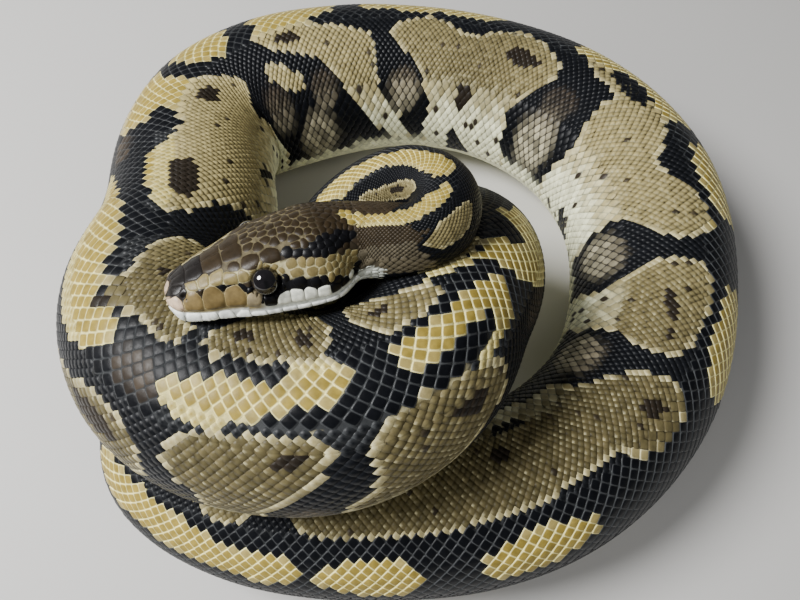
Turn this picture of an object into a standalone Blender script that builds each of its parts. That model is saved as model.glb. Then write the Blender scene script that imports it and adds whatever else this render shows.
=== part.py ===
"""A coiled ball python at life size: one animal lying in a ring, its neck looped over the coil.

The body is a tube swept along one route from the tail to the snout. It lies flat on the floor, and where
one stretch presses on another both are flattened to the plane between them. Metres, +Z up, the floor at 0.
"""

import math

import bmesh
import bpy
import numpy as np
from mathutils import Matrix, Vector

MM = 0.001

# The tail's tip curls up in the coil's hollow: x, y and height of the body's middle line (mm).
TAIL_ROUTE = [
    (-14, -12, 2.2), (-10, 3, 4.2), (-21, 14, 6), (-39, 12, 8.3), (-56, -2, 10.7), (-70, -21, 13.2),
]
# The coil from there round to the turn before the neck: angle counter-clockwise (deg), distance from the
# coil's middle and height (mm).
COIL_ROUTE = [
    (209, 97.5, 16.3), (221, 102.5, 19), (236, 95.5, 21), (252, 88, 22.5), (270, 83.5, 23.5),
    (300, 85, 24.5), (330, 87.7, 25), (355, 88.8, 26), (378, 93, 27), (400, 94.3, 27), (425, 93.7, 26),
    (446, 93, 26.3), (470, 94, 27.5), (486, 97.5, 28.5), (498, 98.8, 30), (512, 89.5, 33), (526, 78, 37),
    (542, 74, 43), (558, 80, 49.5), (579, 80.5, 58), (600, 73.2, 64), (617, 65.5, 67.5), (636, 51, 68.5),
]
# From that turn back under the neck, up through a rising loop and forward to the nape: x, y, height (mm).
NECK_ROUTE = [
    (13, -36.5, 65.5), (21, -22, 60), (22, -7, 52.5), (11, 3, 46), (-4, 0.5, 39.5), (-16, -8, 36),
    (-26, -15, 40), (-29.5, -17.5, 52), (-25, -13.5, 65), (-13.5, -4, 74), (-0.5, -0.5, 80), (9.5, -7, 85),
    (10.6, -18, 88), (4, -25.8, 88.6), (-4, -26, 88.4),
]
NAPE = (-12.5, -24.3, 89)
SNOUT = (-59.2, -42.5, 90)
# The middle of the whole outline, which becomes the origin (mm).
OUTLINE_MIDDLE = (5.57, 5.80)

# Distance behind the snout's tip and the body's radius (mm). The first three are the head's own core.
GIRTH = [
    (0, 3.5), (12, 6.5), (30, 8.5), (51, 9.8), (72, 10), (102, 10.6), (132, 11.4), (157, 12.3), (182, 14.8),
    (212, 18.7), (247, 22.3), (287, 25.5), (342, 28.5), (392, 29.5), (432, 29.5), (467, 29), (502, 30.6),
    (527, 29.8), (557, 28.4), (587, 28.2), (627, 29.3), (662, 29.8), (702, 28.3), (732, 27.4), (802, 26.6),
    (858, 25.5), (892, 23.5), (921, 19.5), (949, 15), (980, 11.8), (1010, 8.6), (1042, 5.2), (1064, 2.2),
]
# Distance behind the snout's tip (mm) and how far the middle of the back leans to the right (deg).
BACK_LEAN = [
    (0, 24), (51, 22), (67, 23), (80, 10), (94, -8), (112, -18), (137, -20), (167, -10), (202, 12),
    (237, 24), (272, 22), (302, 12), (332, 8), (362, 8), (412, 16), (482, 24), (532, 32), (612, 38),
    (692, 44), (752, 48), (812, 50), (1075, 50),
]

# The head in its own frame: distance behind the snout's tip, half width, height over the mouth line, depth
# of the lower jaw, and how far the mouth line lies under the head's middle line (mm).
HEAD_FORM = [
    (0, 3.6, 2.6, 2.6, 1), (1.5, 6.7, 4.5, 4.6, 1.2), (4, 9, 6.4, 5.8, 1.9),
    (8, 11.1, 8.4, 7.6, 2.6), (14, 12.3, 10.6, 7.8, 3.3), (20, 13, 12.4, 7.2, 3.8),
    (27, 13.8, 14, 6.1, 4.2), (33, 14.9, 15, 5.6, 4.4), (39, 15.2, 15.1, 5.8, 4.5),
    (44, 12.8, 14.2, 6, 4.3), (48, 10.8, 13.2, 6.2, 4), (51, 10.4, 12.9, 6.2, 3.8),
]
HEAD_LENGTH = 51.0
HEAD_STATIONS = [0.0, 0.7, 1.8, 3.5, 6, 9, 12.5, 16, 20, 24, 28, 32, 36, 39.5, 43, 46, 48.5]
UPPER_SIDES, JAW_SIDES = 22, 16     # points of each section, from one corner of the mouth to the other
SQUARENESS = 2.3            # exponent of the head's sections: 2 is an ellipse
EYE_RADIUS = 3.5
EYE_PLACE = (25.4, 11.5, 3.3)    # behind the snout, out to the side, above the middle line

GAP = 0.3                   # clearance between neighbouring solids
PRESS_GAP = 0.3             # kept by each side of a pressed contact
ROUTE_STEP = 2.5            # spacing of the middle line's points
BEND_SHARE = 0.9            # how near the centre of a bend its inner side may come
FAR_ALONG = 1.5             # stretches this many summed radii apart along the body can press on each other

# Each length of the body: name, start and end behind the snout's tip, spacing of its rings (mm), sides.
LENGTHS = (
    [("neck_1", 51, 90, 3.8, 20), ("neck_2", 90, 132, 4.0, 20), ("neck_3", 132, 176, 4.0, 20)]
    + [(f"trunk_{n + 1}", 176 + 80 * n, 256 + 80 * n, 8.0, 24) for n in range(10)]
    + [("tail_1", 976, 1016, 6.0, 18), ("tail_2", 1016, None, 5.0, 12)]
)

SKIN = {"name": "body_skin", "colour": (0.16, 0.115, 0.05), "roughness": 0.42}
CROWN = {"name": "head_skin", "colour": (0.085, 0.05, 0.03), "roughness": 0.38}
LIPS = {"name": "lip_skin", "colour": (0.62, 0.6, 0.48), "roughness": 0.4}
EYE = {"name": "eye", "colour": (0.008, 0.008, 0.012), "roughness": 0.06}


def smoothThrough(stations, perSpan):
    """A centripetal Catmull-Rom curve through the stations, with perSpan points for each span."""
    points = np.array(stations, float)
    points = np.vstack([2 * points[0] - points[1], points, 2 * points[-1] - points[-2]])
    knots = np.r_[0, np.cumsum(np.linalg.norm(np.diff(points, axis=0), axis=1) ** 0.5)]
    spans = []
    for k in range(len(points) - 3):
        p, t = points[k : k + 4], knots[k : k + 4]
        at = (t[1] + (t[2] - t[1]) * np.arange(perSpan) / perSpan)[:, None]
        legs = [((t[i + 1] - at) * p[i] + (at - t[i]) * p[i + 1]) / (t[i + 1] - t[i]) for i in range(3)]
        bends = [
            ((t[i + 2] - at) * legs[i] + (at - t[i]) * legs[i + 1]) / (t[i + 2] - t[i]) for i in range(2)
        ]
        spans.append(((t[2] - at) * bends[0] + (at - t[1]) * bends[1]) / (t[2] - t[1]))
    return np.vstack(spans + [points[-2:-1]])


def spacedEvenly(points, step):
    """The same curve with points about a step apart, and each point's distance along it."""
    along = np.r_[0, np.cumsum(np.linalg.norm(np.diff(points, axis=0), axis=1))]
    places = np.linspace(0, along[-1], int(round(along[-1] / step)) + 1)
    return np.stack([np.interp(places, along, points[:, k]) for k in range(3)], 1), places


def eased(table, at, column=1):
    """The table's value at a distance, smoothly between its rows."""
    rows = np.array(table, float)
    knots, values = rows[:, 0], rows[:, column]
    slopes = np.gradient(values, knots)
    at = np.clip(at, knots[0], knots[-1])
    k = np.clip(np.searchsorted(knots, at) - 1, 0, len(knots) - 2)
    width = knots[k + 1] - knots[k]
    t = (at - knots[k]) / width
    return (
        values[k] * (1 + 2 * t) * (1 - t) ** 2
        + values[k + 1] * t**2 * (3 - 2 * t)
        + slopes[k] * width * t * (1 - t) ** 2
        - slopes[k + 1] * width * t**2 * (1 - t)
    )


def unit(vectors):
    return vectors / np.linalg.norm(vectors, axis=-1, keepdims=True)


class Body:
    """The middle line from tail to snout, with the radius and the directions of each section, in mm."""

    def __init__(self):
        polar = smoothThrough(COIL_ROUTE, 8)[::4]
        turn = np.radians(polar[:, 0])
        coil = np.stack([polar[:, 1] * np.cos(turn), polar[:, 1] * np.sin(turn), polar[:, 2]], 1)
        headLine = [np.array(NAPE) + (np.array(SNOUT) - NAPE) * share for share in (0, 0.25, 0.5, 0.75, 1)]
        line = smoothThrough(np.vstack([TAIL_ROUTE, coil, NECK_ROUTE, headLine]), 12)
        line, _ = spacedEvenly(line, 1.0)
        for _ in range(30):
            line[1:-1] = (line[:-2] + 2 * line[1:-1] + line[2:]) / 4
        self.line, along = spacedEvenly(line, ROUTE_STEP)
        self.line[:, :2] -= OUTLINE_MIDDLE
        self.behind = along[-1] - along
        self.radius = eased(GIRTH, self.behind)
        self.ahead = unit(np.gradient(self.line, axis=0))
        # towards each bend's centre, one over its radius long
        self.bend = np.gradient(self.ahead, along, axis=0)
        self.length = along[-1]

    def between(self, data, behind):
        """A vector kept for each point of the middle line, at a distance behind the snout."""
        along = self.length - self.behind
        return np.array([np.interp(self.length - behind, along, data[:, k]) for k in range(3)])

    def at(self, behind):
        """Middle point, radius, and the ahead, left and up directions at a distance behind the snout."""
        middle = self.between(self.line, behind)
        ahead = unit(self.between(self.ahead, behind))
        left = unit(np.cross((0, 0, 1), ahead))
        return middle, float(eased(GIRTH, behind)), ahead, left, np.cross(ahead, left)

    def reach(self, behind, start, direction, wanted):
        """How far a ray may go across a section: short of a bend's centre, the floor and other stretches."""
        middle, radius, *_ = self.at(behind)
        inward = self.between(self.bend, behind) @ direction
        if inward > 0:
            wanted = min(wanted, BEND_SHARE / inward)
        if direction[2] < 0:
            wanted = min(wanted, start[2] / -direction[2])
        far = np.abs(self.behind - behind) > FAR_ALONG * (self.radius + radius)
        across = self.line[far] - middle
        facing = across @ direction
        ahead = facing > 1e-6
        plane = (across**2).sum(1) + radius**2 - self.radius[far] ** 2 - 2 * across @ (start - middle)
        limits = plane[ahead] / (2 * facing[ahead]) - PRESS_GAP
        return min(wanted, limits.min()) if len(limits) else wanted

    def ring(self, behind, sides):
        """One section of the body as a closed ring of points, starting at the middle of the back."""
        middle, radius, _, left, up = self.at(behind)
        lean = math.radians(float(eased(BACK_LEAN, behind)))
        points = []
        for k in range(sides):
            turn = 2 * math.pi * k / sides + lean
            direction = up * math.cos(turn) - left * math.sin(turn)
            point = middle + direction * self.reach(behind, middle, direction, radius)
            if point[2] < 1e-6:
                point[2] = 0.0
            points.append(point * MM)
        return points


def makeMaterial(look):
    material = bpy.data.materials.get(look["name"]) or bpy.data.materials.new(look["name"])
    material.use_nodes = True
    shader = material.node_tree.nodes["Principled BSDF"]
    shader.inputs["Base Color"].default_value = (*look["colour"], 1)
    shader.inputs["Roughness"].default_value = look["roughness"]
    shader.inputs["Metallic"].default_value = 0
    material.diffuse_color = (*look["colour"], 1)
    return material


def addObject(name, mesh, look):
    part = bpy.data.objects.new(name, mesh)
    bpy.context.scene.collection.objects.link(part)
    mesh.materials.append(makeMaterial(look))
    return part


def solidFromRings(name, rings, look):
    """A closed solid through rings of equal count, capped at both ends."""
    bm = bmesh.new()
    loops = [[bm.verts.new(point) for point in ring] for ring in rings]
    for near, far in zip(loops, loops[1:]):
        for k in range(len(near)):
            bm.faces.new((near[k - 1], near[k], far[k], far[k - 1]))
    bm.faces.new(loops[0])
    bm.faces.new(loops[-1])
    bmesh.ops.recalc_face_normals(bm, faces=bm.faces)
    mesh = bpy.data.meshes.new(name)
    bm.to_mesh(mesh)
    bm.free()
    mesh.shade_smooth()
    mesh.set_sharp_from_angle(angle=math.radians(40))
    return addObject(name, mesh, look)


def makeLength(body, name, start, end, step, sides):
    """One length of neck, trunk or tail, cut square at both ends with half the gap left on each."""
    end = body.length - 0.5 if end is None else end - GAP / 2
    start += GAP / 2
    count = max(2, round((end - start) / step))
    rings = [body.ring(start + (end - start) * k / count, sides) for k in range(count + 1)]
    return solidFromRings(name, rings, SKIN)


def headFrame(body, behind):
    """The middle line's point in the head, with the head's own left and up, leaned over with the crown."""
    middle, _, _, left, up = body.at(behind)
    lean = math.radians(float(eased(BACK_LEAN, behind)))
    crown = up * math.cos(lean) - left * math.sin(lean)
    cheek = left * math.cos(lean) + up * math.sin(lean)
    return middle, cheek, crown


def headHalfRing(body, behind, sides, upper):
    """The head's section over or under the mouth line, flat along the mouth."""
    wide, tall, deep, drop = (float(eased(HEAD_FORM, behind, column)) for column in (1, 2, 3, 4))
    middle, cheek, crown = headFrame(body, behind)
    mouth = middle - crown * drop
    height = tall if upper else -deep
    points = []
    for k in range(sides):
        turn = math.pi * k / (sides - 1)
        out = math.copysign(abs(math.cos(turn)) ** (2 / SQUARENESS), math.cos(turn)) * wide
        above = math.sin(turn) ** (2 / SQUARENESS) * height + math.copysign(GAP / 2, height)
        offset = cheek * out + crown * above
        distance = np.linalg.norm(offset)
        direction = offset / distance
        points.append((mouth + direction * body.reach(behind, mouth, direction, distance)) * MM)
    return points


def makeHeadHalf(body, name, upper, look):
    """The head over the mouth line, or the lower jaw under it, from the snout to the nape."""
    sides = UPPER_SIDES if upper else JAW_SIDES
    stations = HEAD_STATIONS + [HEAD_LENGTH - GAP / 2]
    return solidFromRings(name, [headHalfRing(body, at, sides, upper) for at in stations], look)


def makeBall(name, middle, radius, look):
    bm = bmesh.new()
    place = Matrix.Translation(Vector(middle * MM))
    bmesh.ops.create_uvsphere(bm, u_segments=16, v_segments=10, radius=radius * MM, matrix=place)
    mesh = bpy.data.meshes.new(name)
    bm.to_mesh(mesh)
    bm.free()
    mesh.shade_smooth()
    return addObject(name, mesh, look)


def makeEye(body, skull, name, side):
    """An eyeball in a socket cut into the head, with the gap round it."""
    behind, out, above = EYE_PLACE
    middle, cheek, crown = headFrame(body, behind)
    middle = middle + cheek * out * side + crown * above
    makeBall(name, middle, EYE_RADIUS, EYE)
    socket = makeBall(f"{name}_socket", middle, EYE_RADIUS + GAP, EYE)
    socket.hide_render = True
    socket.display_type = "WIRE"
    cut = skull.modifiers.new(f"{name}_socket", "BOOLEAN")
    cut.operation = "DIFFERENCE"
    cut.solver = "EXACT"
    cut.object = socket


def main():
    for old in list(bpy.data.objects):
        bpy.data.objects.remove(old, do_unlink=True)
    body = Body()
    for row in LENGTHS:
        makeLength(body, *row)
    skull = makeHeadHalf(body, "head", True, CROWN)
    makeHeadHalf(body, "lower_jaw", False, LIPS)
    makeEye(body, skull, "eye_left", 1)
    makeEye(body, skull, "eye_right", -1)


main()
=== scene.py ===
import math

import bmesh
import bpy
import numpy as np
from mathutils import Matrix, Vector


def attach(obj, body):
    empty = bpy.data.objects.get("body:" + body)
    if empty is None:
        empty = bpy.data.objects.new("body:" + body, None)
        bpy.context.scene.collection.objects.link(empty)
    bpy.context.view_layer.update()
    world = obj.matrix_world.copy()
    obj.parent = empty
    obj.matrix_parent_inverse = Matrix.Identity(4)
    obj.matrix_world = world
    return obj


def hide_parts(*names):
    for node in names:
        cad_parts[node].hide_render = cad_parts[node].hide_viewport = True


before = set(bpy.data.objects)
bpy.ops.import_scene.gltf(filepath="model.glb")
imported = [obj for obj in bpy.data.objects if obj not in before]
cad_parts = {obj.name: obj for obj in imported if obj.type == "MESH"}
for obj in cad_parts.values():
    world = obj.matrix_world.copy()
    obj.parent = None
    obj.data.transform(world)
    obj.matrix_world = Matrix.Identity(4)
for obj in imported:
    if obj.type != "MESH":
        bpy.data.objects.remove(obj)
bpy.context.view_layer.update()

mm = 0.001
fleshNodes = (
    ["head", "lower_jaw"]
    + [f"neck_{n}" for n in (1, 2, 3)]
    + [f"trunk_{n}" for n in range(1, 11)]
    + ["tail_1", "tail_2"]
)
# The body's route and sizes in mm, as the frame's solids have them.
route = {
    "tail": [
        (-14, -12, 2.2), (-10, 3, 4.2), (-21, 14, 6), (-39, 12, 8.3), (-56, -2, 10.7), (-70, -21, 13.2),
    ],
    # angle round the coil, distance from its middle, height
    "coil": [
        (209, 97.5, 16.3), (221, 102.5, 19), (236, 95.5, 21), (252, 88, 22.5), (270, 83.5, 23.5),
        (300, 85, 24.5), (330, 87.7, 25), (355, 88.8, 26), (378, 93, 27), (400, 94.3, 27), (425, 93.7, 26),
        (446, 93, 26.3), (470, 94, 27.5), (486, 97.5, 28.5), (498, 98.8, 30), (512, 89.5, 33), (526, 78, 37),
        (542, 74, 43), (558, 80, 49.5), (579, 80.5, 58), (600, 73.2, 64), (617, 65.5, 67.5), (636, 51, 68.5),
    ],
    "neck": [
        (13, -36.5, 65.5), (21, -22, 60), (22, -7, 52.5), (11, 3, 46), (-4, 0.5, 39.5), (-16, -8, 36),
        (-26, -15, 40), (-29.5, -17.5, 52), (-25, -13.5, 65), (-13.5, -4, 74), (-0.5, -0.5, 80), (9.5, -7, 85),
        (10.6, -18, 88), (4, -25.8, 88.6), (-4, -26, 88.4),
    ],
    "nape": (-12.5, -24.3, 89),
    "snout": (-59.2, -42.5, 90),
    "middle": (5.57, 5.80),
    "step": 2.5,
}
# distance behind the snout and radius
girth = [
    (0, 3.5), (12, 6.5), (30, 8.5), (51, 9.8), (72, 10), (102, 10.6), (132, 11.4), (157, 12.3), (182, 14.8),
    (212, 18.7), (247, 22.3), (287, 25.5), (342, 28.5), (392, 29.5), (432, 29.5), (467, 29), (502, 30.6),
    (527, 29.8), (557, 28.4), (587, 28.2), (627, 29.3), (662, 29.8), (702, 28.3), (732, 27.4), (802, 26.6),
    (858, 25.5), (892, 23.5), (921, 19.5), (949, 15), (980, 11.8), (1010, 8.6), (1042, 5.2), (1064, 2.2),
]
# distance behind the snout and how far the middle of the back leans to the right, in degrees
backLean = [
    (0, 24), (51, 22), (67, 23), (80, 10), (94, -8), (112, -18), (137, -20), (167, -10), (202, 12),
    (237, 24), (272, 22), (302, 12), (332, 8), (362, 8), (412, 16), (482, 24), (532, 32), (612, 38),
    (692, 44), (752, 48), (812, 50), (1075, 50),
]
# the head: behind the snout, half width, height over the mouth, depth of the jaw, how far the mouth lies
# under the middle line
headForm = [
    (0, 3.6, 2.6, 2.6, 1), (1.5, 6.7, 4.5, 4.6, 1.2), (4, 9, 6.4, 5.8, 1.9), (8, 11.1, 8.4, 7.6, 2.6),
    (14, 12.3, 10.6, 7.8, 3.3), (20, 13, 12.4, 7.2, 3.8), (27, 13.8, 14, 6.1, 4.2), (33, 14.9, 15, 5.6, 4.4),
    (39, 15.2, 15.1, 5.8, 4.5), (44, 12.8, 14.2, 6, 4.3), (48, 10.8, 13.2, 6.2, 4), (51, 10.4, 12.9, 6.2, 3.8),
    (56, 10.1, 11.6, 8, 1.8), (61, 9.9, 10.2, 9.7, 0.2), (66, 9.9, 9.9, 9.9, 0),
]


def smoothThrough(stations, perSpan):
    # a centripetal Catmull-Rom curve
    points = np.array(stations, float)
    points = np.vstack([2 * points[0] - points[1], points, 2 * points[-1] - points[-2]])
    knots = np.r_[0, np.cumsum(np.linalg.norm(np.diff(points, axis=0), axis=1) ** 0.5)]
    spans = []
    for k in range(len(points) - 3):
        p, t = points[k : k + 4], knots[k : k + 4]
        at = (t[1] + (t[2] - t[1]) * np.arange(perSpan) / perSpan)[:, None]

        def between(first, last, low, high):
            return ((t[last] - at) * low + (at - t[first]) * high) / (t[last] - t[first])

        legs = [between(i, i + 1, p[i], p[i + 1]) for i in range(3)]
        bends = [between(i, i + 2, legs[i], legs[i + 1]) for i in range(2)]
        spans.append(between(1, 2, *bends))
    return np.vstack(spans + [points[-2:-1]])


def spacedEvenly(points, step):
    along = np.r_[0, np.cumsum(np.linalg.norm(np.diff(points, axis=0), axis=1))]
    places = np.linspace(0, along[-1], int(round(along[-1] / step)) + 1)
    return np.stack([np.interp(places, along, points[:, k]) for k in range(3)], 1), places


def eased(table, at, column=1):
    rows = np.array(table, float)
    knots, values = rows[:, 0], rows[:, column]
    slopes = np.gradient(values, knots)
    at = np.clip(at, knots[0], knots[-1])
    k = np.clip(np.searchsorted(knots, at) - 1, 0, len(knots) - 2)
    width = knots[k + 1] - knots[k]
    t = (at - knots[k]) / width
    return (
        values[k] * (1 + 2 * t) * (1 - t) ** 2
        + values[k + 1] * t**2 * (3 - 2 * t)
        + slopes[k] * width * t * (1 - t) ** 2
        - slopes[k + 1] * width * t**2 * (1 - t)
    )


def unit(vectors):
    return vectors / np.maximum(np.linalg.norm(vectors, axis=-1, keepdims=True), 1e-12)


def bodyLine():
    polar = smoothThrough(route["coil"], 8)[::4]
    turn = np.radians(polar[:, 0])
    coil = np.stack([polar[:, 1] * np.cos(turn), polar[:, 1] * np.sin(turn), polar[:, 2]], 1)
    nape, snout = np.array(route["nape"]), np.array(route["snout"])
    headLine = [nape + (snout - nape) * share for share in (0, 0.25, 0.5, 0.75, 1)]
    line = smoothThrough(np.vstack([route["tail"], coil, route["neck"], headLine]), 12)
    line, _ = spacedEvenly(line, 1.0)
    for _ in range(30):
        line[1:-1] = (line[:-2] + 2 * line[1:-1] + line[2:]) / 4
    line, along = spacedEvenly(line, route["step"])
    line[:, :2] -= route["middle"]
    return line, along


line, along = bodyLine()
length = along[-1]
lineBehind = length - along
lineRadius = eased(girth, lineBehind)
lineAhead = unit(np.gradient(line, axis=0))
lineBend = np.gradient(lineAhead, along, axis=0)


def lineAt(data, behind):
    place = length - np.asarray(behind, float)
    return np.stack([np.interp(place, along, data[:, k]) for k in range(3)], -1)


def sectionFrames(behind):
    # the middle of each section, with its own right and crown directions leaned over with the back
    middle = lineAt(line, behind)
    ahead = unit(lineAt(lineAhead, behind))
    left = unit(np.cross((0.0, 0.0, 1.0), ahead))
    up = np.cross(ahead, left)
    lean = np.radians(eased(backLean, behind))[:, None]
    crown = up * np.cos(lean) - left * np.sin(lean)
    right = -left * np.cos(lean) - up * np.sin(lean)
    return middle, right, crown


# How the skin goes round the body. "square" is how much fuller than an ellipse the head's sections are and
# "neckFade" over what length that fades; a bend's inner side reaches at most "bendShare" of the way to the
# bend's centre; "gap" is left between coils; a coil is another one from "farAlong" radii along the body.
bodyForm = {"square": 0.3, "neckFade": 15, "bendShare": 0.9, "gap": 0.3, "farAlong": 1.5, "thinnest": 0.3}


def surfaceTable(behind, turns):
    # the skin's points, for every distance behind the snout and every turn from the middle of the back
    middle, right, crown = sectionFrames(behind)
    radius = eased(girth, behind)
    wide, tall, deep, drop = radius.copy(), radius.copy(), radius.copy(), np.zeros(len(behind))
    onHead = behind < headForm[-1][0]
    at = behind[onHead]
    wide[onHead], tall[onHead] = eased(headForm, at, 1), eased(headForm, at, 2)
    deep[onHead], drop[onHead] = eased(headForm, at, 3), eased(headForm, at, 4)
    share = np.clip((headForm[-1][0] - behind) / bodyForm["neckFade"], 0, 1)
    power = 2 / (2 + bodyForm["square"] * share)[:, None]
    start = middle - crown * drop[:, None]
    side, rise = np.sin(turns)[None], np.cos(turns)[None]
    out = np.sign(side) * np.abs(side) ** power * wide[:, None]
    above = np.sign(rise) * np.abs(rise) ** power * np.where(rise > 0, tall[:, None], deep[:, None])
    offset = out[..., None] * right[:, None] + above[..., None] * crown[:, None]
    wanted = np.linalg.norm(offset, axis=2)
    direction = offset / wanted[..., None]
    bend = lineAt(lineBend, behind)
    inward = (direction * bend[:, None]).sum(2)
    bendLimit = bodyForm["bendShare"] / np.maximum(inward, 1e-9)
    wanted = np.where(inward > 0, np.minimum(wanted, bendLimit), wanted)
    down = -direction[..., 2]
    floorAt = start[:, None, 2] / np.maximum(down, 1e-9)
    wanted = np.where(down > 0, np.minimum(wanted, floorAt), wanted)
    # half way to every other coil
    for k in range(len(behind)):
        far = np.abs(lineBehind - behind[k]) > bodyForm["farAlong"] * (lineRadius + radius[k])
        across = line[far] - middle[k]
        facing = across @ direction[k].T
        push = across @ (start[k] - middle[k])
        plane = (across**2).sum(1) + radius[k] ** 2 - lineRadius[far] ** 2 - 2 * push
        limits = np.where(facing > 1e-6, plane[:, None] / (2 * np.maximum(facing, 1e-6)), 1e9)
        wanted[k] = np.minimum(wanted[k], (limits - bodyForm["gap"]).min(0))
    wanted = np.maximum(wanted, bodyForm["thinnest"])
    return start[:, None] + direction * wanted[..., None]


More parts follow.
